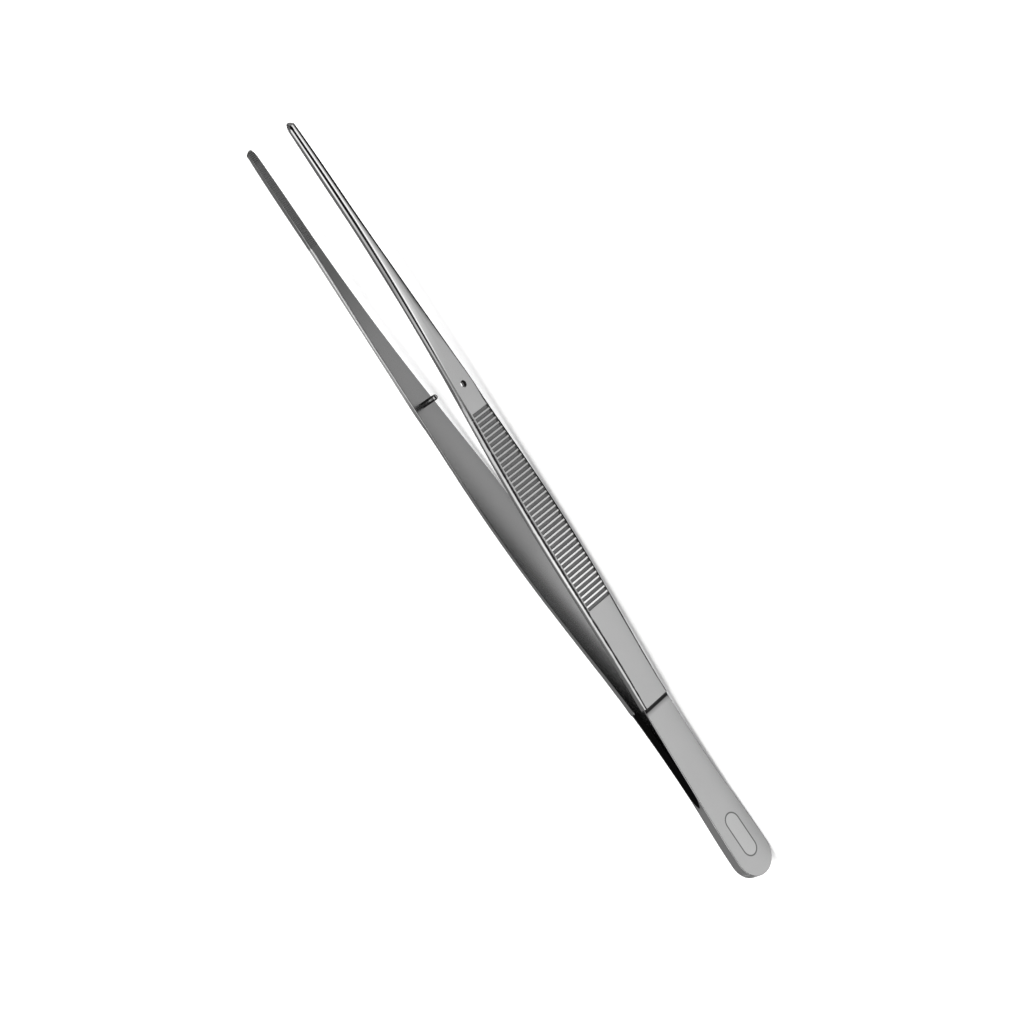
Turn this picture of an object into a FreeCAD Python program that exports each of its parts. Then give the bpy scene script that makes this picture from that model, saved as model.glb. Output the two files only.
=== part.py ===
# Thumb forceps: two steel spring arms joined at the butt, with a guide pin, in millimetres.
#
# The forceps lie on their narrow edges. +X runs from the butt to the jaws, +Y from the near arm to the
# far arm, +Z is up, across the width of the arms. The origin is under the middle of the whole part.
# An arm is drawn from the butt end's middle, on the +Y side, with z = 0 in its own middle plane.
import FreeCAD, Part
import math
import os

os.makedirs("parts", exist_ok=True)

# Lengths along the part, and places in the grip as shares of its length
LENGTH = 200.8
WELD_LENGTH = 21.3
STEP_PLACE = 47.25
GRIP_START = 72.9
WIDEST_SHARE = 0.3
SHOULDER_SHARE = 0.72
HOLE_FROM_GRIP = 6.6
JAW_LENGTH = 26.0

# Width of an arm, seen square to its outer face
BUTT_WIDTH = 11.2
SPRING_WIDTH = 9.85
WAIST_WIDTH = 8.6
HANDLE_WIDTH = 8.7
NECK_WIDTH = 8.83
GRIP_WIDTH = 10.15
SHOULDER_WIDTH = 9.1
HOLE_WIDTH = 6.5
SHANK_WIDTH = 4.3
JAW_WIDTH = 2.65
JAW_MIDDLE_WIDTH = 2.35
TIP_WIDTH = 2.0

# Thickness of an arm
SPRING_THICKNESS = 1.3
STEP_HEIGHT = 0.6
STEP_RUN = 0.8
GRIP_THICKNESS = 1.8
SHOULDER_THICKNESS = 1.75
HOLE_THICKNESS = 1.55
JAW_THICKNESS = 1.88
TIP_THICKNESS = 1.45

# Half of the gap between the arms at rest
NOTCH_LENGTH = 5.4
NOTCH_HALF_GAP = 0.1
STEP_HALF_GAP = 1.15
NECK_HALF_GAP = 2.33
GRIP_HALF_GAP = 4.5
SHOULDER_HALF_GAP = 5.65
HOLE_HALF_GAP = 6.73
SHANK_HALF_GAP = 7.45
JAW_HALF_GAP = 7.53
JAW_MIDDLE_HALF_GAP = 7.62
TIP_HALF_GAP = 7.7

# Long edges: rounded outside and inside, but bevelled inside the spring. The handle stands out of the
# spring's end on the outer face by the step, and a little at the sides.
BUTT_EDGE_RADIUS = 0.2
STEP_EDGE_RADIUS = 0.75
GRIP_START_EDGE_RADIUS = 1.05
GRIP_EDGE_RADIUS = 1.2
HOLE_EDGE_RADIUS = 0.6
SHANK_EDGE_RADIUS = 1.1
JAW_EDGE_RADIUS = 1.1
TIP_EDGE_RADIUS = 0.9
INNER_EDGE_RADIUS = 0.15
SHANK_INNER_RADIUS = 0.4
SPRING_BEVEL = 1.0
WELD_BEVEL = 0.15
STEP_BEVEL = 0.9
BEVEL_RUN = 1.2

# How far the outer face leans over, in degrees, where it meets the rounding of its long edges
HANDLE_LEAN = 0.5
SHANK_LEAN = 9.0
TIP_LEAN = 9.0

# The tip: half an ellipse seen square to the outer face, with its back cut at a slant down to a thin end
NOSE_LENGTH = 2.5
NOSE_FULLNESS = 0.04
NOSE_SLANT_LENGTH = 1.0
NOSE_END_THICKNESS = 0.35

# Cross grooves of the grip: flat pockets between fine ridges, which just run into the rounded edges
GROOVE_COUNT = 41
GROOVE_PITCH = 1.265
GROOVE_FLOOR = 0.78
GROOVE_FLARE = 0.06
GROOVE_DEPTH = 0.28
GROOVE_OVERRUN = 0.2

# Guide pin, its seat in the far arm, and the hole that it meets in the near arm when the arms close
PIN_DIAMETER = 1.4
PIN_FROM_HOLE = 0.3
PIN_PROUD = 5.1
PIN_SEAT_DEPTH = 1.2
PIN_SEAT_CLEARANCE = 0.01
GUIDE_HOLE_CLEARANCE = 0.15

# Fine cross teeth of the jaws
TOOTH_PITCH = 0.45
TOOTH_LAND = 0.07
TOOTH_DEPTH = 0.15
JAW_SKIM = 0.03

# How the outlines are drawn
BUTT_SECTIONS = 5
SPRING_SECTIONS = 8
STEP_SECTIONS = 6
HANDLE_SECTIONS = 12
SHANK_SECTIONS = 30
CURVE_SEARCH_STEPS = 50
MOST_OF_WALL = 0.45
STEP_SHY = 0.05
TOUCH = 0.01
OVERSIZE = 5.0

GRIP_LENGTH = GROOVE_COUNT * GROOVE_PITCH
NECK_PLACE = (STEP_PLACE + GRIP_START) / 2
WIDEST_PLACE = GRIP_START + GRIP_LENGTH * WIDEST_SHARE
SHOULDER_PLACE = GRIP_START + GRIP_LENGTH * SHOULDER_SHARE
GRIP_END = GRIP_START + GRIP_LENGTH
HOLE_PLACE = GRIP_END + HOLE_FROM_GRIP
PIN_PLACE = HOLE_PLACE + PIN_FROM_HOLE
JAW_START = LENGTH - JAW_LENGTH
JAW_MIDDLE = JAW_START + JAW_LENGTH / 2
SHANK_PLACE = (HOLE_PLACE + JAW_START) / 2
HANDLE_END = (GRIP_END + HOLE_PLACE) / 2
BUTT_RADIUS = BUTT_WIDTH / 2
BEVEL_FULL_PLACE = WELD_LENGTH + BEVEL_RUN
STEP_FOOT = STEP_PLACE - STEP_RUN
SPRING_MIDDLE = (WELD_LENGTH + STEP_PLACE) / 2
AXIS_HEIGHT = max(BUTT_WIDTH, GRIP_WIDTH) / 2


def point(x, y, z=0.0):
    return FreeCAD.Vector(x, y, z)


def across(corner):
    """The same point on the other side of the arm's middle plane."""
    return point(corner.x, corner.y, -corner.z)


def places(start, end, count):
    return [start + (end - start) * index / count for index in range(count + 1)]


def straight(stations):
    """The size at any place, from straight runs through (place, size) stations."""
    def size_at(place):
        for (start, first), (end, last) in zip(stations, stations[1:]):
            if place <= end:
                return first + (last - first) * (place - start) / (end - start)
        return stations[-1][1]

    return size_at


def smooth(stations, level_start=False):
    """The size at any place, from a smooth curve through (place, size) stations."""
    points = [point(place, size) for place, size in stations]
    level = [point(1, 0)] * len(points)
    set_here = [level_start] + [False] * (len(points) - 1)
    curve = Part.BSplineCurve()
    curve.interpolate(Points=points, Tangents=level, TangentFlags=set_here)

    def size_at(place):
        low, high = curve.FirstParameter, curve.LastParameter
        for _ in range(CURVE_SEARCH_STEPS):
            middle = (low + high) / 2
            if curve.value(middle).x < place:
                low = middle
            else:
                high = middle
        return curve.value(low).y

    return size_at


spring_width_at = smooth([
    (BUTT_RADIUS, BUTT_WIDTH),
    (BEVEL_FULL_PLACE, SPRING_WIDTH),
    (STEP_PLACE, WAIST_WIDTH),
], level_start=True)
handle_width_at = smooth([
    (STEP_PLACE, HANDLE_WIDTH),
    (NECK_PLACE, NECK_WIDTH),
    (WIDEST_PLACE, GRIP_WIDTH),
    (SHOULDER_PLACE, SHOULDER_WIDTH),
    (HOLE_PLACE, HOLE_WIDTH),
    (SHANK_PLACE, SHANK_WIDTH),
    (JAW_START, JAW_WIDTH),
    (JAW_MIDDLE, JAW_MIDDLE_WIDTH),
    (LENGTH, TIP_WIDTH),
])
half_gap_at = smooth([
    (WELD_LENGTH, 0.0),
    (WELD_LENGTH + NOTCH_LENGTH, NOTCH_HALF_GAP),
    (STEP_PLACE, STEP_HALF_GAP),
    (NECK_PLACE, NECK_HALF_GAP),
    (WIDEST_PLACE, GRIP_HALF_GAP),
    (SHOULDER_PLACE, SHOULDER_HALF_GAP),
    (HOLE_PLACE, HOLE_HALF_GAP),
    (SHANK_PLACE, SHANK_HALF_GAP),
    (JAW_START, JAW_HALF_GAP),
    (JAW_MIDDLE, JAW_MIDDLE_HALF_GAP),
    (LENGTH, TIP_HALF_GAP),
], level_start=True)
handle_thickness_at = smooth([
    (STEP_PLACE, SPRING_THICKNESS + STEP_HEIGHT),
    (WIDEST_PLACE, GRIP_THICKNESS),
    (SHOULDER_PLACE, SHOULDER_THICKNESS),
    (HOLE_PLACE, HOLE_THICKNESS),
    (JAW_START, JAW_THICKNESS),
    (LENGTH, TIP_THICKNESS),
])
handle_radius_at = straight([
    (STEP_PLACE, STEP_EDGE_RADIUS),
    (GRIP_START, GRIP_START_EDGE_RADIUS),
    (WIDEST_PLACE, GRIP_EDGE_RADIUS),
    (GRIP_END, GRIP_EDGE_RADIUS),
    (HOLE_PLACE, HOLE_EDGE_RADIUS),
    (SHANK_PLACE, SHANK_EDGE_RADIUS),
    (JAW_START, JAW_EDGE_RADIUS),
    (LENGTH, TIP_EDGE_RADIUS),
])
inner_radius_at = straight([
    (STEP_PLACE, INNER_EDGE_RADIUS),
    (HOLE_PLACE, INNER_EDGE_RADIUS),
    (SHANK_PLACE, SHANK_INNER_RADIUS),
    (JAW_START, SHANK_INNER_RADIUS),
    (JAW_MIDDLE, INNER_EDGE_RADIUS),
    (LENGTH, INNER_EDGE_RADIUS),
])
lean_at = straight([
    (STEP_PLACE, HANDLE_LEAN),
    (HOLE_PLACE, HANDLE_LEAN),
    (SHANK_PLACE, SHANK_LEAN),
    (LENGTH, TIP_LEAN),
])
spring_bevel_at = straight([
    (WELD_LENGTH, WELD_BEVEL),
    (BEVEL_FULL_PLACE, SPRING_BEVEL),
    (SPRING_MIDDLE, SPRING_BEVEL),
    (STEP_PLACE, STEP_BEVEL),
])


def half_gap_slope_at(x):
    return (half_gap_at(x + TOUCH) - half_gap_at(x - TOUCH)) / (2 * TOUCH)


def outer_face_at(x):
    return half_gap_at(x) + handle_thickness_at(x)


def bevel(start, corner, end):
    """A straight cut over the corner."""
    return Part.makeLine(start, end)


def rounding(start, corner, end):
    """A quarter circle from start to end, tangent to the two sides that meet at the corner."""
    centre = start + end - corner
    middle = centre + (corner - centre) * math.sqrt(0.5)
    return Part.Arc(start, middle, end).toShape()


def crown(x, outer, half, radius, lean):
    """The outer side from wall to wall: a crowned face with a rounding at both ends."""
    lean = math.radians(lean)
    turn = (lean + math.radians(90)) / 2
    face_half = half - radius * (1 - math.sin(lean))
    rise = face_half * math.tan(lean / 2)
    centre = point(x, outer - rise - radius * math.cos(lean), half - radius)
    face_end = centre + point(0, math.cos(lean), math.sin(lean)) * radius
    middle = centre + point(0, math.cos(turn), math.sin(turn)) * radius
    wall_start = centre + point(0, 0, 1) * radius
    return [
        Part.Arc(across(wall_start), across(middle), across(face_end)).toShape(),
        Part.Arc(across(face_end), point(x, outer), face_end).toShape(),
        Part.Arc(face_end, middle, wall_start).toShape(),
    ], wall_start


def flat_face(x, outer, half, radius):
    """The outer side from wall to wall: a flat face with a rounding at both ends."""
    corner = point(x, outer, half)
    face_end = point(x, outer, half - radius)
    wall_start = point(x, outer - radius, half)
    return [
        rounding(across(wall_start), across(corner), across(face_end)),
        Part.makeLine(across(face_end), face_end),
        rounding(face_end, corner, wall_start),
    ], wall_start


def section(x, inner, outer, width, outer_radius, inner_size=0.0, inner_corner=None, lean=0.0):
    """Closed outline of an arm cut square to X, with sharp inner corners where none is given."""
    half = width / 2
    radius = min(outer_radius, MOST_OF_WALL * width, outer - inner - inner_size - TOUCH)
    if lean:
        edges, wall_start = crown(x, outer, half, radius, lean)
    else:
        edges, wall_start = flat_face(x, outer, half, radius)
    inner_tip = point(x, inner, half)
    wall_end = point(x, inner + inner_size, half)
    inner_end = point(x, inner, half - inner_size)
    edges.append(Part.makeLine(wall_start, wall_end))
    if inner_corner:
        edges.append(inner_corner(wall_end, inner_tip, inner_end))
    edges.append(Part.makeLine(inner_end, across(inner_end)))
    if inner_corner:
        edges.append(inner_corner(across(inner_end), across(inner_tip), across(wall_end)))
    edges.append(Part.makeLine(across(wall_end), across(wall_start)))
    return Part.Wire(edges)


def butt_end():
    """The half-round end of the butt: half of its section, turned about the disc's middle."""
    half_width = BUTT_WIDTH / 2
    rim = half_width - BUTT_EDGE_RADIUS
    wall = SPRING_THICKNESS - BUTT_EDGE_RADIUS
    foot = point(BUTT_RADIUS, 0)
    inner_tip = point(BUTT_RADIUS, 0, half_width)
    wall_end = point(BUTT_RADIUS, wall, half_width)
    outer_tip = point(BUTT_RADIUS, SPRING_THICKNESS, half_width)
    outer_end = point(BUTT_RADIUS, SPRING_THICKNESS, rim)
    head = point(BUTT_RADIUS, SPRING_THICKNESS)
    outline = Part.Wire([
        Part.makeLine(foot, inner_tip),
        Part.makeLine(inner_tip, wall_end),
        rounding(wall_end, outer_tip, outer_end),
        Part.makeLine(outer_end, head),
        Part.makeLine(head, foot),
    ])
    return Part.Face(outline).revolve(foot, point(0, -1), 180)


def butt_part():
    """The welded length behind the half-round end, flat inside, where it meets the other arm."""
    outlines = []
    for x in places(BUTT_RADIUS, WELD_LENGTH, BUTT_SECTIONS):
        outlines.append(section(x, 0.0, SPRING_THICKNESS, spring_width_at(x), BUTT_EDGE_RADIUS))
    return Part.makeLoft(outlines, True, False)


def spring_part():
    """The thin part between the weld and the step, with its inner long edges bevelled."""
    outlines = []
    for x in places(WELD_LENGTH, STEP_FOOT, SPRING_SECTIONS):
        inner = half_gap_at(x)
        outer = inner + SPRING_THICKNESS
        width = spring_width_at(x)
        outlines.append(section(x, inner, outer, width, BUTT_EDGE_RADIUS, spring_bevel_at(x), bevel))
    return Part.makeLoft(outlines, True, False)


def step_part():
    """The hollow ramp from the spring's outer face up to the handle, which stands a little out of it."""
    outlines = []
    for x in places(STEP_FOOT, STEP_PLACE, STEP_SECTIONS):
        share = 1 - math.sqrt(1 - ((x - STEP_FOOT) / STEP_RUN) ** 2)
        inner = half_gap_at(x)
        outer = inner + SPRING_THICKNESS + (STEP_HEIGHT - STEP_SHY) * share
        radius = BUTT_EDGE_RADIUS + (STEP_EDGE_RADIUS - BUTT_EDGE_RADIUS) * share
        outlines.append(section(x, inner, outer, spring_width_at(x), radius, spring_bevel_at(x), bevel))
    return Part.makeLoft(outlines, True, True)


def handle_section(x):
    """Outline past the step, with rounded long edges."""
    inner = half_gap_at(x)
    outer = outer_face_at(x)
    width = handle_width_at(x)
    radius = handle_radius_at(x)
    return section(x, inner, outer, width, radius, inner_radius_at(x), rounding, lean_at(x))


def handle_part():
    """The thicker part from the step past the grip."""
    outlines = [handle_section(x) for x in places(STEP_PLACE, HANDLE_END, HANDLE_SECTIONS)]
    return Part.makeLoft(outlines, True, False)


def shank_part():
    """The slender part that carries the jaw."""
    outlines = [handle_section(x) for x in places(HANDLE_END, LENGTH, SHANK_SECTIONS)]
    return Part.makeLoft(outlines, True, True)


def nose_waste():
    """What the rounded nose leaves off, seen square to the outer face."""
    half_width = TIP_WIDTH / 2 + NOSE_FULLNESS
    depth = outer_face_at(LENGTH) + OVERSIZE
    start = LENGTH - NOSE_LENGTH
    block = Part.makeBox(NOSE_LENGTH + OVERSIZE, depth, 2 * OVERSIZE, point(start, 0, -OVERSIZE))
    ellipse = Part.Ellipse(point(LENGTH, 0), point(start, 0, half_width), point(start, 0))
    nose = Part.Face(Part.Wire(ellipse.toShape())).extrude(point(0, depth))
    return block.cut(nose)


def nose_back_waste():
    """What the slanting back of the nose leaves off, seen from the side."""
    start = point(LENGTH - NOSE_SLANT_LENGTH, outer_face_at(LENGTH - NOSE_SLANT_LENGTH))
    end = point(LENGTH, half_gap_at(LENGTH) + NOSE_END_THICKNESS)
    slant = end - start
    outline = Part.makePolygon([start - slant, end + slant, end + slant + point(0, OVERSIZE), start - slant])
    back = Part.Face(outline).extrude(point(0, 0, 2 * OVERSIZE))
    back.translate(point(0, 0, -OVERSIZE))
    return back


def groove(index):
    """One pocket of the grip, square to the outer face where it lies."""
    x = GRIP_START + GROOVE_PITCH * (index + 0.5)
    rise = outer_face_at(x + GROOVE_PITCH / 2) - outer_face_at(x - GROOVE_PITCH / 2)
    slope = math.degrees(math.atan2(rise, GROOVE_PITCH))
    half_length = handle_width_at(x) / 2 - handle_radius_at(x) + GROOVE_OVERRUN
    half_floor = GROOVE_FLOOR / 2
    half_mouth = half_floor + GROOVE_FLARE
    profile = Part.makePolygon([
        point(-half_floor, -GROOVE_DEPTH),
        point(half_floor, -GROOVE_DEPTH),
        point(half_mouth, 0),
        point(half_mouth, GROOVE_DEPTH),
        point(-half_mouth, GROOVE_DEPTH),
        point(-half_mouth, 0),
        point(-half_floor, -GROOVE_DEPTH),
    ])
    pocket = Part.Face(profile).extrude(point(0, 0, 2 * half_length))
    pocket.translate(point(0, 0, -half_length))
    pocket.rotate(point(0, 0), point(0, 0, 1), slope)
    pocket.translate(point(x, outer_face_at(x)))
    return pocket


def jaw_teeth():
    """Fine V cuts across the inner face of the jaw, with narrow lands between them, as one comb."""
    below = point(0, -OVERSIZE)
    half_cut = (TOOTH_PITCH - TOOTH_LAND) / 2

    def face_point(x, depth):
        return point(x, half_gap_at(x) + depth)

    corners = [face_point(JAW_START, JAW_SKIM)]
    for index in range(int(JAW_LENGTH / TOOTH_PITCH)):
        start = JAW_START + index * TOOTH_PITCH + TOOTH_LAND
        corners.append(face_point(start, JAW_SKIM))
        corners.append(face_point(start + half_cut, TOOTH_DEPTH))
        corners.append(face_point(start + 2 * half_cut, JAW_SKIM))
    corners.append(face_point(LENGTH, JAW_SKIM) + point(OVERSIZE, 0))
    corners.append(corners[-1] + below)
    corners.append(corners[0] + below)
    corners.append(corners[0])
    comb = Part.Face(Part.makePolygon(corners)).extrude(point(0, 0, 2 * JAW_WIDTH))
    comb.translate(point(0, 0, -JAW_WIDTH))
    return comb


def square_line(place):
    """Where the line square to the arm's inner face at a place meets it, and its direction into the arm."""
    direction = point(-half_gap_slope_at(place), 1.0)
    direction.normalize()
    return point(place, half_gap_at(place)), direction


def bar_through(place, radius, start, end):
    """A round bar square to the inner face, from start to end measured into the arm from that face."""
    foot, direction = square_line(place)
    return Part.makeCylinder(radius, end - start, foot + direction * start, direction)


def plain_arm():
    arm = butt_end()
    for part in (butt_part(), spring_part(), step_part(), handle_part(), shank_part()):
        arm = arm.fuse(part)
    arm = arm.cut(nose_waste())
    arm = arm.cut(nose_back_waste())
    arm = arm.cut(jaw_teeth())
    return arm.cut(Part.makeCompound([groove(index) for index in range(GROOVE_COUNT)]))


def guide_pin():
    """The pin, from the bottom of its seat to its domed free end."""
    radius = PIN_DIAMETER / 2
    foot, direction = square_line(PIN_PLACE)
    dome_centre = radius - PIN_PROUD
    shank = bar_through(PIN_PLACE, radius, dome_centre, PIN_SEAT_DEPTH)
    dome = Part.makeSphere(radius, foot + direction * dome_centre)
    return shank.fuse(dome).removeSplitter()


def write(name, shape):
    """Moves the shape from the butt end to the part's own origin and writes it."""
    placed = shape.copy()
    placed.translate(point(-LENGTH / 2, 0, AXIS_HEIGHT))
    print(name, "valid", placed.isValid(), "solids", len(placed.Solids), "volume", round(placed.Volume, 3))
    placed.exportStep("parts/" + name + ".step")


arm = plain_arm()
seat = bar_through(PIN_PLACE, PIN_DIAMETER / 2 + PIN_SEAT_CLEARANCE, -HOLE_HALF_GAP, PIN_SEAT_DEPTH)
guide_hole = bar_through(HOLE_PLACE, PIN_DIAMETER / 2 + GUIDE_HOLE_CLEARANCE, -HOLE_HALF_GAP, HOLE_HALF_GAP)
far_arm = arm.cut(seat)
near_arm = arm.cut(guide_hole).mirror(point(0, 0), point(0, 1))

write("far_arm", far_arm)
write("near_arm", near_arm)
write("guide_pin", guide_pin())
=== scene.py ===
import math

import bpy
from mathutils import Matrix, Vector

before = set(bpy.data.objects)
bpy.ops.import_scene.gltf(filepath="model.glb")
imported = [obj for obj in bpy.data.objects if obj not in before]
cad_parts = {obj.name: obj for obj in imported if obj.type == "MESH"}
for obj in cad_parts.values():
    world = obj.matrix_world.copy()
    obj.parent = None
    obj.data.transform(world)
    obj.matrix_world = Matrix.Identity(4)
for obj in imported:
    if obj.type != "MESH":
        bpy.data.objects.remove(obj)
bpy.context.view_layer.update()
bpy.context.scene.view_settings.view_transform = "Standard"

MM = 0.001

# Camera, from the photograph's perspective
CAMERA_TURN = math.radians(-7.648)
CAMERA_RISE = math.radians(41.0)
CAMERA_ROLL = math.radians(128.948)
CAMERA_DISTANCE = 801.1 * MM
CAMERA_SLIDE_RIGHT = 1.563 * MM
CAMERA_SLIDE_UP = 1.075 * MM
CAMERA_TARGET = Vector((0.4 * MM, 0, 5.1 * MM))
CAMERA_LENS = 125.0
CAMERA_SENSOR = 36.0
CAMERA_NEAREST = 0.01
CAMERA_FARTHEST = 100


def add_camera():
    ahead = Vector((
        math.sin(CAMERA_TURN) * math.cos(CAMERA_RISE),
        math.cos(CAMERA_TURN) * math.cos(CAMERA_RISE),
        -math.sin(CAMERA_RISE),
    ))
    level = Vector((math.cos(CAMERA_TURN), -math.sin(CAMERA_TURN), 0))
    upright = level.cross(ahead)
    right = math.cos(CAMERA_ROLL) * level - math.sin(CAMERA_ROLL) * upright
    up = math.sin(CAMERA_ROLL) * level + math.cos(CAMERA_ROLL) * upright
    place = CAMERA_TARGET - CAMERA_DISTANCE * ahead - CAMERA_SLIDE_RIGHT * right - CAMERA_SLIDE_UP * up
    data = bpy.data.cameras.new("camera")
    data.sensor_width = CAMERA_SENSOR
    data.lens = CAMERA_LENS
    data.clip_start = CAMERA_NEAREST
    data.clip_end = CAMERA_FARTHEST
    camera = bpy.data.objects.new("camera", data)
    turned = Matrix((right, up, -ahead)).transposed().to_4x4()
    camera.matrix_world = Matrix.Translation(place) @ turned
    bpy.context.scene.collection.objects.link(camera)
    bpy.context.scene.camera = camera


def grey(level):
    return (level, level, level, 1)


class Nodes:
    """Short calls to build one material's or the world's node tree."""

    def __init__(self, tree):
        self.tree = tree
        tree.nodes.clear()

    def add(self, kind, **settings):
        node = self.tree.nodes.new(kind)
        for name, value in settings.items():
            setattr(node, name, value)
        return node

    def join(self, source, target):
        self.tree.links.new(source, target)

    def put(self, socket, value):
        if hasattr(value, "links"):
            self.join(value, socket)
        else:
            socket.default_value = value

    def finish(self, kind, source):
        self.join(source, self.add(kind).inputs[0])

    def split(self, vector):
        node = self.add("ShaderNodeSeparateXYZ")
        self.join(vector, node.inputs[0])
        return node.outputs

    def noise(self, position, scale, detail):
        node = self.add("ShaderNodeTexNoise")
        self.join(position, node.inputs["Vector"])
        node.inputs["Scale"].default_value = scale
        node.inputs["Detail"].default_value = detail
        return node.outputs["Fac"]

    def colour(self, level):
        """A grey colour from a level."""
        node = self.add("ShaderNodeCombineColor")
        for socket in node.inputs:
            self.join(level, socket)
        return node.outputs[0]

    def math(self, operation, first, second=0.0, third=0.0, clamp=False):
        node = self.add("ShaderNodeMath", operation=operation, use_clamp=clamp)
        for socket, value in zip(node.inputs, (first, second, third)):
            self.put(socket, value)
        return node.outputs[0]

    def product(self, first, *others):
        for other in others:
            first = self.math("MULTIPLY", first, other)
        return first

    def distance(self, first, second):
        """The distance over two steps that are square to each other."""
        squares = self.math("ADD", self.math("POWER", first, 2.0), self.math("POWER", second, 2.0))
        return self.math("SQRT", squares)

    def ramp(self, value, start, end, low=0.0, high=1.0):
        """A smooth step from low to high while the value goes from start to end."""
        node = self.add("ShaderNodeMapRange", interpolation_type="SMOOTHSTEP")
        entries = {"Value": value, "From Min": start, "From Max": end, "To Min": low, "To Max": high}
        for name, entry in entries.items():
            self.put(node.inputs[name], entry)
        return node.outputs[0]

    def band(self, value, rise, fall):
        """1 between a smooth step up over the rise and a smooth step down over the fall."""
        return self.product(self.ramp(value, *rise), self.ramp(value, *fall))

    def blend(self, share, first, second):
        """The first value where the share is 0, and the second where it is 1."""
        node = self.add("ShaderNodeMix", data_type="FLOAT")
        for index, entry in ((0, share), (2, first), (3, second)):
            self.put(node.inputs[index], entry)
        return node.outputs[0]

    def share_of_peak(self, value, stations):
        """Straight lines through (value, level) stations as a share of their peak, and that peak."""
        first, last = stations[0][0], stations[-1][0]
        run = last - first
        peak = max(level for _, level in stations)
        ramp = self.add("ShaderNodeValToRGB")
        self.join(self.math("MULTIPLY_ADD", value, 1 / run, -first / run), ramp.inputs[0])
        elements = ramp.color_ramp.elements
        elements.remove(elements[1])
        elements[0].color = grey(stations[0][1] / peak)
        for station, level in stations[1:]:
            elements.new((station - first) / run).color = grey(level / peak)
        return ramp.outputs[0], peak

    def curve(self, value, stations):
        """Straight lines through (value, level) stations."""
        return self.product(*self.share_of_peak(value, stations))


# The studio's brightness by angle, in degrees: 0 is the horizon in front of the near arm, 90 is
# overhead, and 180 is the horizon behind the far arm
SKY_STOPS = [
    (-180, 1.0),
    (-175, 0.3),
    (-90, 1.0),
    (8, 1.0),
    (15, 0.05),
    (54, 0.04),
    (64, 2.0),
    (104, 2.0),
    (116, 0.3),
    (142, 0.42),
    (152, 0.36),
    (180, 0.42),
]


def add_world():
    world = bpy.data.worlds.new("studio")
    bpy.context.scene.world = world
    world.use_nodes = True
    nodes = Nodes(world.node_tree)
    direction = nodes.split(nodes.add("ShaderNodeTexCoord").outputs["Generated"])
    ahead = nodes.math("MULTIPLY", direction["Y"], -1.0)
    angle = nodes.math("DEGREES", nodes.math("ARCTAN2", direction["Z"], ahead))
    share, peak = nodes.share_of_peak(angle, SKY_STOPS)
    light = nodes.add("ShaderNodeBackground")
    nodes.join(share, light.inputs["Color"])
    light.inputs["Strength"].default_value = peak
    nodes.finish("ShaderNodeOutputWorld", light.outputs[0])


KEY_HEIGHT = 1.2
KEY_SIZE = 1.6
KEY_POWER = 5.2


def add_key_light():
    data = bpy.data.lights.new("key", "AREA")
    data.shape = "DISK"
    data.size = KEY_SIZE
    data.energy = KEY_POWER
    light = bpy.data.objects.new("key", data)
    light.location = (0, 0, KEY_HEIGHT)
    light.visible_glossy = False
    bpy.context.scene.collection.objects.link(light)


FLOOR_SIZE = 8.0
FLOOR_COLOUR = 0.9
# Light that the floor adds where it is seen, also in metal or glass, so that it looks white there
FLOOR_GLOW = 0.3


def floor_material():
    material = bpy.data.materials.new("floor")
    material.use_nodes = True
    nodes = Nodes(material.node_tree)
    matte = nodes.add("ShaderNodeBsdfDiffuse")
    matte.inputs["Color"].default_value = grey(FLOOR_COLOUR)
    glow = nodes.add("ShaderNodeEmission")
    glow.inputs["Color"].default_value = grey(1.0)
    path = nodes.add("ShaderNodeLightPath")
    seen = nodes.math("ADD", path.outputs["Is Camera Ray"], path.outputs["Is Glossy Ray"])
    seen = nodes.math("ADD", seen, path.outputs["Is Transmission Ray"], clamp=True)
    nodes.join(nodes.product(seen, FLOOR_GLOW), glow.inputs["Strength"])
    both = nodes.add("ShaderNodeAddShader")
    nodes.join(matte.outputs[0], both.inputs[0])
    nodes.join(glow.outputs[0], both.inputs[1])
    nodes.finish("ShaderNodeOutputMaterial", both.outputs[0])
    return material


def add_floor():
    half = FLOOR_SIZE / 2
    corners = [(-half, -half, 0), (half, -half, 0), (half, half, 0), (-half, half, 0)]
    mesh = bpy.data.meshes.new("floor")
    mesh.from_pydata(corners, [], [(0, 1, 2, 3)])
    mesh.materials.append(floor_material())
    floor = bpy.data.objects.new("floor", mesh)
    bpy.context.scene.collection.objects.link(floor)


# Painted light: most tones drawn on the arms below are painted highlights, painted shade and painted
# reflections, laid into the steel's colour.
# The arms' steel, drawn by place and by facing. Lengths are in millimetres. A place is counted along
# the part from the butt end, and a height from the arms' middle. Outward is 1 on a surface that looks
# away from the other arm, upward is 1 on top, and jawward is 1 on one that looks towards the jaws.
# Two numbers in brackets are where a smooth step starts and ends, or its tones, shares or facings
# there. Two such steps in brackets are one up and one down
BUTT_END = -100.4
AXIS_HEIGHT = 5.6
WELD_END = 21.0
STEP_FOOT = 46.45
STEP_PLACE = 47.25
GRIP_START = 72.9
GRIP_PITCH = 1.265
GROOVE_COUNT = 41
GRIP_END = GRIP_START + GROOVE_COUNT * GRIP_PITCH
HOLE_PLACE = 131.365
JAW_START = 174.8
LENGTH = 200.8

STEEL_TONE = 0.325
CLOUD_SCALE = 90
CLOUD_DETAIL = 3
CLOUD_SHARE = 0.03
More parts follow.
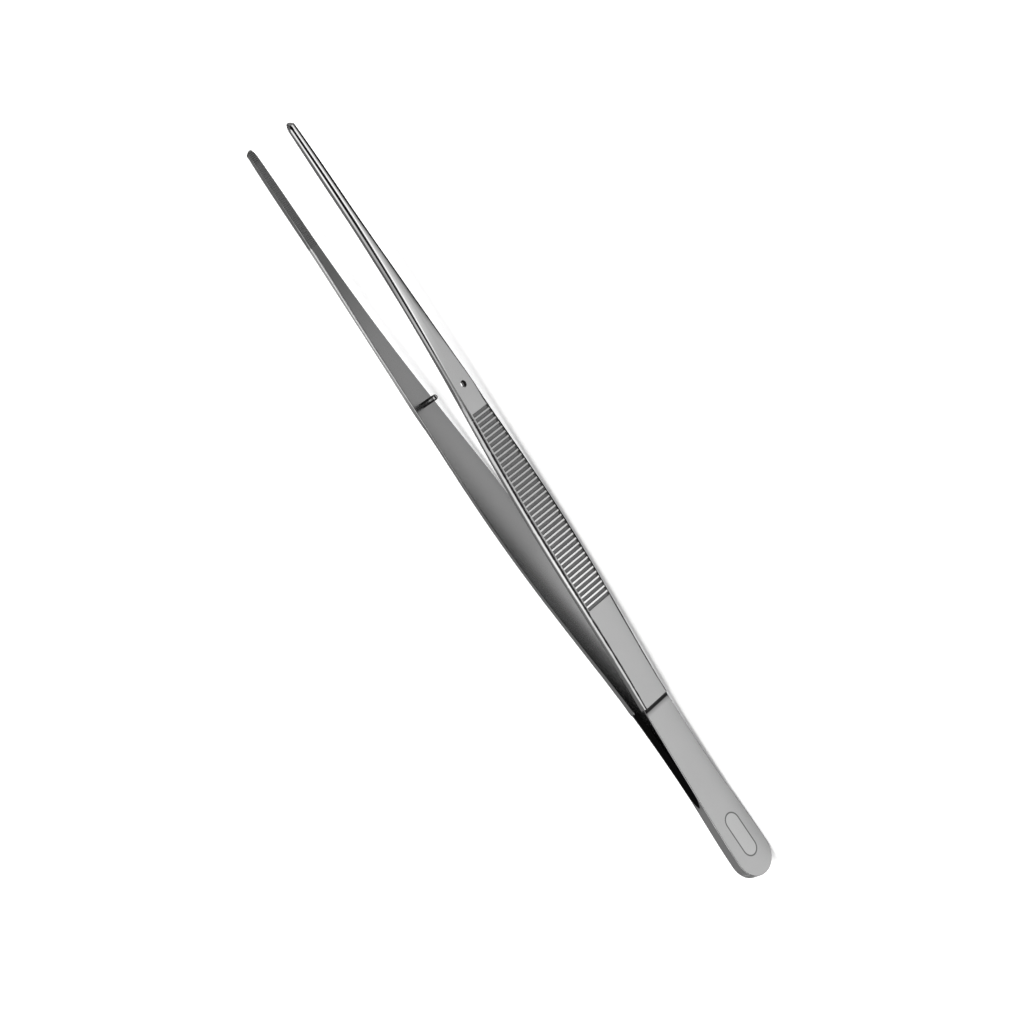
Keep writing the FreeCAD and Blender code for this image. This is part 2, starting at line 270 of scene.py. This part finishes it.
# Painted shade: the steel's tone falls to this share along the shank, from place 120 to 130 on.
SHANK_START = (120.0, 130.0)
SHANK_SHADE_SHARE = 0.9
STEEL_ROUGHNESS = 0.16
GRAIN_SCALE = 2600
GRAIN_DETAIL = 2
GRAIN_ROUGHNESS = 0.05
GRAIN_BUMP = 0.12
GRAIN_DEPTH = 0.004 * MM
# Steps between the two arms, whose side is -1 near and 1 far
TO_NEAR = (0.5, -0.5)
TO_FAR = (-0.5, 0.5)
OUTER_HALF_FACING = (0.1, 0.4)


class Steel:
    """Where a point of an arm lies, how it faces, and the tone, roughness and bump painted there so
    far. The tone holds painted light and shade.
    """

    def __init__(self, nodes):
        self.nodes = nodes
        position = nodes.add("ShaderNodeTexCoord").outputs["Object"]
        point = nodes.split(position)
        self.place = nodes.math("MULTIPLY_ADD", point["X"], 1 / MM, -BUTT_END)
        self.height = nodes.math("MULTIPLY_ADD", point["Z"], 1 / MM, -AXIS_HEIGHT)
        self.nearward = nodes.math("MULTIPLY", point["Y"], -1 / MM)
        side = nodes.math("SIGN", point["Y"])
        self.on_near = nodes.ramp(side, *TO_NEAR)
        self.on_far = nodes.ramp(side, *TO_FAR)

        normal = nodes.split(nodes.add("ShaderNodeNewGeometry").outputs["Normal"])
        self.outward = nodes.math("MULTIPLY", normal["Y"], side)
        self.upward = normal["Z"]
        self.jawward = normal["X"]
        self.outer_half = nodes.ramp(self.outward, *OUTER_HALF_FACING)

        self.grain = nodes.noise(position, GRAIN_SCALE, GRAIN_DETAIL)
        cloud = nodes.noise(position, CLOUD_SCALE, CLOUD_DETAIL)
        tone = nodes.math("MULTIPLY_ADD", cloud, CLOUD_SHARE, STEEL_TONE - CLOUD_SHARE / 2)
        self.tone = nodes.product(tone, nodes.ramp(self.place, *SHANK_START, 1.0, SHANK_SHADE_SHARE))
        smoothest = STEEL_ROUGHNESS - GRAIN_ROUGHNESS / 2
        self.roughness = nodes.math("MULTIPLY_ADD", self.grain, GRAIN_ROUGHNESS, smoothest)
        # The edge tint is lowered only where painted shade falls, at the lower edges and the butt's
        # end.
        self.edge_tint = 1.0
        self.bump = GRAIN_BUMP

    def paint(self, mask, tone):
        self.tone = self.nodes.blend(mask, self.tone, tone)

    def scale(self, mask, share):
        self.paint(mask, self.nodes.product(self.tone, share))

    def roughen(self, mask, roughness):
        self.roughness = self.nodes.blend(mask, self.roughness, roughness)

    def shade_edge_tint(self, mask, tint):
        self.edge_tint = self.nodes.blend(mask, self.edge_tint, tint)

    def flatten(self, mask):
        self.bump = self.nodes.blend(mask, self.bump, 0.0)


INNER_FACING = (-0.55, -0.85)
INNER_START = (WELD_END - 0.5, WELD_END)
INNER_TONES = [
    (46.0, 0.38),
    (75.0, 0.3),
    (92.0, 0.21),
    (130.0, 0.18),
    (150.0, 0.15),
    (168.0, 0.08),
    (LENGTH, 0.08),
]
# Painted shade towards the inner faces' upper edge behind the grip
INNER_SHADE = 0.62
INNER_SHADE_HEIGHTS = (-1.5, 4.6)
INNER_SHADE_PLACES = (100.0, 60.0)
INNER_ROUGHNESS = 0.26


def paint_inner_faces_and_shade(steel):
    """The inner faces, darker and rougher than the outer ones as a finish of their own. Their tone
    also falls along the arm as painted shade between the arms, and painted shade darkens them towards
    their upper edge behind the grip.
    """
    nodes = steel.nodes
    inner = nodes.product(
        nodes.ramp(steel.outward, *INNER_FACING),
        nodes.ramp(steel.place, *INNER_START),
    )
    inner_shade = nodes.product(
        nodes.ramp(steel.height, *INNER_SHADE_HEIGHTS),
        nodes.ramp(steel.place, *INNER_SHADE_PLACES),
    )
    left = nodes.math("MULTIPLY_ADD", inner_shade, -INNER_SHADE, 1.0)
    steel.paint(inner, nodes.product(nodes.curve(steel.place, INNER_TONES), left))
    steel.roughen(inner, INNER_ROUGHNESS)
    steel.flatten(inner)


JAW_STEP = (JAW_START - 0.15, JAW_START + 0.15)
JAW_FACING = (-0.3, -0.6)
JAW_TONE = 0.1
JAW_ROUGHNESS = 0.5


def inside_jaws(steel):
    nodes = steel.nodes
    return nodes.product(nodes.ramp(steel.place, *JAW_STEP), nodes.ramp(steel.outward, *JAW_FACING))


BEVEL_FACING = (-0.3, -0.5)
BEVEL_SLANT = (0.4, 0.6)
BEVEL_END = (STEP_PLACE + 0.1, STEP_PLACE)
BEVEL_SHADE_TONE = 0.02


def paint_bevel_shade(steel):
    """The bevels inside the spring, painted near black as painted shade in the deep gap between the
    arms.
    """
    nodes = steel.nodes
    bevel = nodes.product(
        nodes.ramp(steel.outward, *BEVEL_FACING),
        nodes.ramp(nodes.math("ABSOLUTE", steel.upward), *BEVEL_SLANT),
        nodes.ramp(steel.place, *BEVEL_END),
    )
    steel.paint(bevel, BEVEL_SHADE_TONE)


STEP_SHADE_START = (STEP_FOOT - 1.4, STEP_FOOT)
STEP_SHADE_SHARE = 0.55
STEP_LINE_START = (STEP_FOOT - 0.4, STEP_FOOT)
STEP_SHADE_LINE_TONE = 0.01
STEP_END = (STEP_PLACE + 0.02, STEP_PLACE - 0.05)


def paint_step_shade(steel):
    """Painted shade before the step up to the handle, deepening to a painted near-black line at the
    foot of the step.
    """
    nodes = steel.nodes
    shade = nodes.product(steel.outer_half, nodes.band(steel.place, STEP_SHADE_START, STEP_END))
    steel.scale(shade, STEP_SHADE_SHARE)
    line = nodes.product(steel.outer_half, nodes.band(steel.place, STEP_LINE_START, STEP_END))
    steel.paint(line, STEP_SHADE_LINE_TONE)


LOWER_PLACES = (125.0, 145.0)
LOWER_START_FACINGS = (-0.1, -0.02)
LOWER_END_FACINGS = (-0.32, -0.14)
LOWER_SHADE_SHARES = (0.15, 0.03)
LOWER_JAW_PLACES = (165.0, 185.0)
LOWER_JAW_SHIFT = 0.06
LOWER_SHADE_TINT = 0.1


def paint_lower_edge_shade(steel):
    """Painted shade on the lower long edges, in their colour and their edge tint. Their facings and
    share change along the shank and the jaws.
    """
    nodes = steel.nodes
    shift = nodes.ramp(steel.place, *LOWER_JAW_PLACES, 0.0, LOWER_JAW_SHIFT)
    start = nodes.math("ADD", shift, nodes.ramp(steel.place, *LOWER_PLACES, *LOWER_START_FACINGS))
    end = nodes.math("ADD", shift, nodes.ramp(steel.place, *LOWER_PLACES, *LOWER_END_FACINGS))
    lower_shade = nodes.product(steel.outer_half, nodes.ramp(steel.upward, start, end))
    steel.scale(lower_shade, nodes.ramp(steel.place, *LOWER_PLACES, *LOWER_SHADE_SHARES))
    steel.shade_edge_tint(lower_shade, LOWER_SHADE_TINT)


SHEEN_BAND = ((0.0, 0.2), (0.45, 0.36))
SHEEN_START = (130.0, 150.0)
SHEEN_HIGHLIGHT_TONE = 0.72
LINE_BAND = ((0.46, 0.54), (0.85, 0.79))
LINE_START = (160.0, 180.0)
LINE_FACING = (0.1, 0.3)
NEAR_LINE_REFLECTION_TONE = 0.02


def paint_shank_reflections(steel):
    """A painted highlight, the bright sheen along the shank, and the near jaw's dark line above it, a
    painted dark reflection.
    """
    nodes = steel.nodes
    sheen = nodes.product(
        nodes.band(steel.upward, *SHEEN_BAND),
        nodes.ramp(steel.place, *SHEEN_START),
        steel.outer_half,
    )
    steel.paint(sheen, SHEEN_HIGHLIGHT_TONE)
    line = nodes.product(
        nodes.band(steel.upward, *LINE_BAND),
        nodes.ramp(steel.place, *LINE_START),
        steel.on_near,
        nodes.ramp(steel.outward, *LINE_FACING),
    )
    steel.paint(line, NEAR_LINE_REFLECTION_TONE)


UPPER_FACING = (0.78, 0.86)
UPPER_OUTWARD = (0.05, 0.15)
UPPER_LIGHT_SHARES = [
    (60.0, 1.0),
    (70.0, 1.1),
    (79.0, 1.45),
    (89.0, 1.38),
    (98.0, 1.25),
    (108.0, 1.08),
    (118.0, 1.0),
    (130.0, 1.0),
    (147.0, 0.85),
    (160.0, 0.5),
    (172.0, 0.95),
    (186.0, 1.8),
    (LENGTH, 1.3),
]


def paint_near_upper_edge_light(steel):
    """Painted highlight and painted shade on the near arm's outer upper edge, brighter or darker by
    place.
    """
    nodes = steel.nodes
    upper = nodes.product(
        nodes.ramp(steel.upward, *UPPER_FACING),
        nodes.ramp(steel.outward, *UPPER_OUTWARD),
        steel.on_near,
    )
    steel.scale(upper, nodes.curve(steel.place, UPPER_LIGHT_SHARES))


INNER_EDGE_FACING = (-0.1, -0.25)
INNER_EDGE_BAND = ((0.3, 0.5), (0.99, 0.95))
INNER_EDGE_PLACES = ((120.0, 140.0), (JAW_START + 0.5, JAW_START - 0.5))
INNER_EDGE_HIGHLIGHT_TONE = 0.5
INNER_EDGE_ROUGHNESS = 0.55


def paint_inner_edge_highlights(steel):
    """The bright inner upper edges along the shank, a painted highlight."""
    nodes = steel.nodes
    edge = nodes.product(
        nodes.band(steel.upward, *INNER_EDGE_BAND),
        nodes.ramp(steel.outward, *INNER_EDGE_FACING),
        nodes.band(steel.place, *INNER_EDGE_PLACES),
    )
    steel.paint(edge, INNER_EDGE_HIGHLIGHT_TONE)
    steel.roughen(edge, INNER_EDGE_ROUGHNESS)


FAR_TOP_FACING = (0.8, 0.92)
FAR_TOP_PLACES = ((125.0, 140.0), (JAW_START + 0.3, JAW_START - 0.3))
FAR_TOP_HIGHLIGHT_TONE = 0.75
FAR_LINE_BAND = ((0.25, 0.4), (0.99, 0.95))
FAR_LINE_PLACES = ((STEP_PLACE, STEP_PLACE + 1.0), (125.0, 100.0))
FAR_LINE_SHADE_TONE = 0.03


def paint_far_upper_edge_light(steel):
    """The far arm's bright top along the shank, a painted highlight, and its dark inner edge from the
    step to the grip, painted shade.
    """
    nodes = steel.nodes
    top = nodes.product(
        nodes.ramp(steel.upward, *FAR_TOP_FACING),
        steel.on_far,
        nodes.band(steel.place, *FAR_TOP_PLACES),
    )
    steel.paint(top, FAR_TOP_HIGHLIGHT_TONE)
    line = nodes.product(
        nodes.ramp(steel.outward, *INNER_EDGE_FACING),
        nodes.band(steel.upward, *FAR_LINE_BAND),
        steel.on_far,
        nodes.band(steel.place, *FAR_LINE_PLACES),
    )
    steel.paint(line, FAR_LINE_SHADE_TONE)


RIM_FACING = (0.6, 0.75)
RIM_PLACES = (WELD_END + 1, WELD_END - 1)
RIM_HIGHLIGHT_SHARE = 1.25
RIM_END_FACING = (-0.52, -0.64)
RIM_END_PLACES = (8.0, 6.0)
RIM_END_SHADE_SHARE = 0.4
RIM_END_SHADE_TINT = 0.5
NOSE_FACING = (0.25, 0.5)
NOSE_START = (197.0, 198.0)
NOSE_SHADE_SHARE = 0.5


def paint_end_light(steel):
    """A painted highlight on the butt's upper rim, and painted shade on its rounded end and on the
    jaws' noses.
    """
    nodes = steel.nodes
    rim = nodes.product(nodes.ramp(steel.upward, *RIM_FACING), nodes.ramp(steel.place, *RIM_PLACES))
    steel.scale(rim, RIM_HIGHLIGHT_SHARE)
    end = nodes.product(
        nodes.ramp(steel.jawward, *RIM_END_FACING),
        nodes.ramp(steel.place, *RIM_END_PLACES),
    )
    steel.scale(end, RIM_END_SHADE_SHARE)
    steel.shade_edge_tint(end, RIM_END_SHADE_TINT)
    nose = nodes.product(nodes.ramp(steel.jawward, *NOSE_FACING), nodes.ramp(steel.place, *NOSE_START))
    steel.scale(nose, NOSE_SHADE_SHARE)


HOLE_REACH = (1.8, 1.7)
HOLE_WALL_FACING = (0.9, 0.8)
HOLE_MOUTH = (7.3, 7.42)
HOLE_SHADE_TONE = 0.015


def paint_guide_hole_shade(steel):
    """The wall of the guide hole, painted dark at its mouth as painted shade."""
    nodes = steel.nodes
    from_hole = nodes.distance(nodes.math("SUBTRACT", steel.place, HOLE_PLACE), steel.height)
    wall = nodes.product(
        nodes.ramp(from_hole, *HOLE_REACH),
        nodes.ramp(nodes.math("ABSOLUTE", steel.outward), *HOLE_WALL_FACING),
        nodes.ramp(steel.nearward, *HOLE_MOUTH),
    )
    steel.paint(wall, HOLE_SHADE_TONE)


MATTE_FACING = (0.3, 0.45)
MATTE_PLACES = ((120.0, 130.0), (144.0, 136.0))
MATTE_ROUGHNESS = 0.5


def roughen_shank(steel):
    """A matte stretch of the shank between the grip and the sheen."""
    nodes = steel.nodes
    matte = nodes.product(
        nodes.ramp(steel.upward, *MATTE_FACING),
        nodes.band(steel.place, *MATTE_PLACES),
        steel.outer_half,
    )
    steel.roughen(matte, MATTE_ROUGHNESS)


GROOVE_HALF_LENGTHS = [
    (GRIP_START, 3.98),
    (88.5, 4.07),
    (100.0, 3.93),
    (110.3, 3.55),
    (118.0, 3.05),
    (124.8, 2.6),
]
GROOVE_END_BLUR = (0.03, -0.03)
GRIP_PLACES = ((GRIP_START + 0.16, GRIP_START + 0.2), (GRIP_END - 0.16, GRIP_END - 0.2))
GRIP_FACING = (0.05, 0.2)
# Distance from a groove's middle as a share of the pitch
GROOVE_REACH = (0.36, 0.31)
GROOVE_SHADE_TONE = 0.075
GROOVE_SPECKLE = 0.1
GROOVE_ROUGHNESS = 0.5
RIDGE_PLACES = (GRIP_START, GRIP_START + 40)
RIDGE_HIGHLIGHT_TONES = (0.75, 0.36)
RIDGE_ROUGHNESS = 0.45


def paint_grip_light_and_shade(steel):
    """The grooves' floors, painted dark as painted shade speckled by the grain, and the ridges between
    them, painted bright as painted highlights that fade along the grip.
    """
    nodes = steel.nodes
    turns = nodes.math("MULTIPLY_ADD", steel.place, 1 / GRIP_PITCH, -GRIP_START / GRIP_PITCH)
    from_middle = nodes.math("ABSOLUTE", nodes.math("SUBTRACT", nodes.math("FRACT", turns), 0.5))
    half_length = nodes.curve(steel.place, GROOVE_HALF_LENGTHS)
    beyond = nodes.math("SUBTRACT", nodes.math("ABSOLUTE", steel.height), half_length)
    grip = nodes.product(
        nodes.band(steel.place, *GRIP_PLACES),
        nodes.ramp(beyond, *GROOVE_END_BLUR),
        nodes.ramp(steel.outward, *GRIP_FACING),
    )
    in_groove = nodes.ramp(from_middle, *GROOVE_REACH)
    groove = nodes.product(grip, in_groove)
    steel.paint(groove, nodes.math("MULTIPLY_ADD", steel.grain, GROOVE_SPECKLE, GROOVE_SHADE_TONE))
    steel.roughen(groove, GROOVE_ROUGHNESS)
    ridge = nodes.product(grip, nodes.math("SUBTRACT", 1.0, in_groove))
    steel.paint(ridge, nodes.ramp(steel.place, *RIDGE_PLACES, *RIDGE_HIGHLIGHT_TONES))
    steel.roughen(ridge, RIDGE_ROUGHNESS)


END_WALL_FACING = (-0.7, -0.85)
END_WALL_PLACES = ((GRIP_START, GRIP_START + 0.1), (GRIP_END, GRIP_END - 0.1))
END_WALL_OUTWARD = (-0.5, -0.3)
END_WALL_REFLECTION_TONE = 0.95


def paint_groove_end_reflections(steel):
    """The end walls of the grooves, painted bright as a painted reflection, so that they show the
    groove's floor.
    """
    nodes = steel.nodes
    from_axis = nodes.product(steel.upward, nodes.math("SIGN", steel.height))
    wall = nodes.product(
        nodes.ramp(from_axis, *END_WALL_FACING),
        nodes.band(steel.place, *END_WALL_PLACES),
        nodes.ramp(steel.outward, *END_WALL_OUTWARD),
    )
    steel.paint(wall, END_WALL_REFLECTION_TONE)


BADGE_PLACE = 10.6
BADGE_HALF_LENGTH = 5.6
BADGE_RADIUS = 2.15
BADGE_FACING = (0.75, 0.95)
BADGE_FIELD_REACH = (BADGE_RADIUS - 0.1, BADGE_RADIUS - 0.3)
BADGE_FIELD_SHARE = 1.12
BADGE_LINE_REACH = (0.24, 0.1)
BADGE_LINE_SHARE = 0.35


def paint_badge_place(steel):
    """The bare oblong field on the near arm's butt, with the line around it."""
    nodes = steel.nodes
    reach = nodes.math("ABSOLUTE", nodes.math("SUBTRACT", steel.place, BADGE_PLACE))
    past_straight = nodes.math("SUBTRACT", reach, BADGE_HALF_LENGTH - BADGE_RADIUS)
    from_middle = nodes.distance(nodes.math("MAXIMUM", past_straight, 0.0), steel.height)
    from_line = nodes.math("ABSOLUTE", nodes.math("SUBTRACT", from_middle, BADGE_RADIUS))
    near_face = nodes.product(nodes.ramp(steel.outward, *BADGE_FACING), steel.on_near)
    field = nodes.product(near_face, nodes.ramp(from_middle, *BADGE_FIELD_REACH))
    steel.scale(field, BADGE_FIELD_SHARE)
    line = nodes.product(near_face, nodes.ramp(from_line, *BADGE_LINE_REACH))
    steel.scale(line, BADGE_LINE_SHARE)


def steel_material():
    material = bpy.data.materials.new("satin_steel")
    material.use_nodes = True
    nodes = Nodes(material.node_tree)
    steel = Steel(nodes)
    paint_inner_faces_and_shade(steel)
    in_jaws = inside_jaws(steel)
    steel.paint(in_jaws, JAW_TONE)
    paint_bevel_shade(steel)
    paint_step_shade(steel)
    paint_lower_edge_shade(steel)
    paint_shank_reflections(steel)
    paint_near_upper_edge_light(steel)
    paint_inner_edge_highlights(steel)
    paint_far_upper_edge_light(steel)
    paint_end_light(steel)
    paint_guide_hole_shade(steel)
    roughen_shank(steel)
    steel.roughen(in_jaws, JAW_ROUGHNESS)
    paint_grip_light_and_shade(steel)
    paint_groove_end_reflections(steel)
    paint_badge_place(steel)

    bump = nodes.add("ShaderNodeBump")
    nodes.join(steel.bump, bump.inputs["Strength"])
    bump.inputs["Distance"].default_value = GRAIN_DEPTH
    nodes.join(steel.grain, bump.inputs["Height"])

    shader = nodes.add("ShaderNodeBsdfPrincipled")
    shader.inputs["Metallic"].default_value = 1.0
    nodes.join(nodes.colour(steel.tone), shader.inputs["Base Color"])
    nodes.join(steel.edge_tint, shader.inputs["Specular Tint"])
    nodes.join(steel.roughness, shader.inputs["Roughness"])
    nodes.join(bump.outputs[0], shader.inputs["Normal"])
    nodes.finish("ShaderNodeOutputMaterial", shader.outputs[0])
    return material


# The pin's steel, with painted light: a painted highlight near its seat that fades towards the free
# end, and painted shade on the dome, at the sides and below
PIN_SEAT_START = (2.2 * MM, 4.6 * MM)
PIN_FREE_TONE = 0.22
PIN_SEAT_HIGHLIGHT_TONE = 0.95
PIN_DOME_FACING = (-0.1, -0.3)
PIN_DOME_SHADE_TONE = 0.3
PIN_ASIDE_FACING = (0.3, 0.55)
PIN_BELOW_FACING = (0.15, -0.25)
PIN_SHADE_TONE = 0.06
PIN_ROUGHNESS = 0.12
PIN_GRAIN_SCALE = 4000
PIN_GRAIN_DETAIL = 2
PIN_GRAIN_ROUGHNESS = 0.1


def pin_material():
    material = bpy.data.materials.new("pin_steel")
    material.use_nodes = True
    nodes = Nodes(material.node_tree)
    position = nodes.add("ShaderNodeTexCoord").outputs["Object"]
    normal = nodes.split(nodes.add("ShaderNodeNewGeometry").outputs["Normal"])
    near_seat = nodes.ramp(nodes.split(position)["Y"], *PIN_SEAT_START)
    tone = nodes.blend(near_seat, PIN_FREE_TONE, PIN_SEAT_HIGHLIGHT_TONE)
    tone = nodes.blend(nodes.ramp(normal["Y"], *PIN_DOME_FACING), tone, PIN_DOME_SHADE_TONE)
    aside = nodes.ramp(nodes.math("ABSOLUTE", normal["X"]), *PIN_ASIDE_FACING)
    below = nodes.ramp(normal["Z"], *PIN_BELOW_FACING)
    tone = nodes.blend(nodes.math("MAXIMUM", aside, below), tone, PIN_SHADE_TONE)
    grain = nodes.noise(position, PIN_GRAIN_SCALE, PIN_GRAIN_DETAIL)

    shader = nodes.add("ShaderNodeBsdfPrincipled")
    shader.inputs["Metallic"].default_value = 1.0
    nodes.join(nodes.colour(tone), shader.inputs["Base Color"])
    roughness = nodes.math("MULTIPLY_ADD", grain, PIN_GRAIN_ROUGHNESS, PIN_ROUGHNESS)
    nodes.join(roughness, shader.inputs["Roughness"])
    nodes.finish("ShaderNodeOutputMaterial", shader.outputs[0])
    return material


add_camera()
add_world()
add_key_light()
add_floor()
arm_steel = steel_material()
pin_steel = pin_material()
for name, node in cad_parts.items():
    node.data.materials.clear()
    node.data.materials.append(pin_steel if name == "guide_pin" else arm_steel)
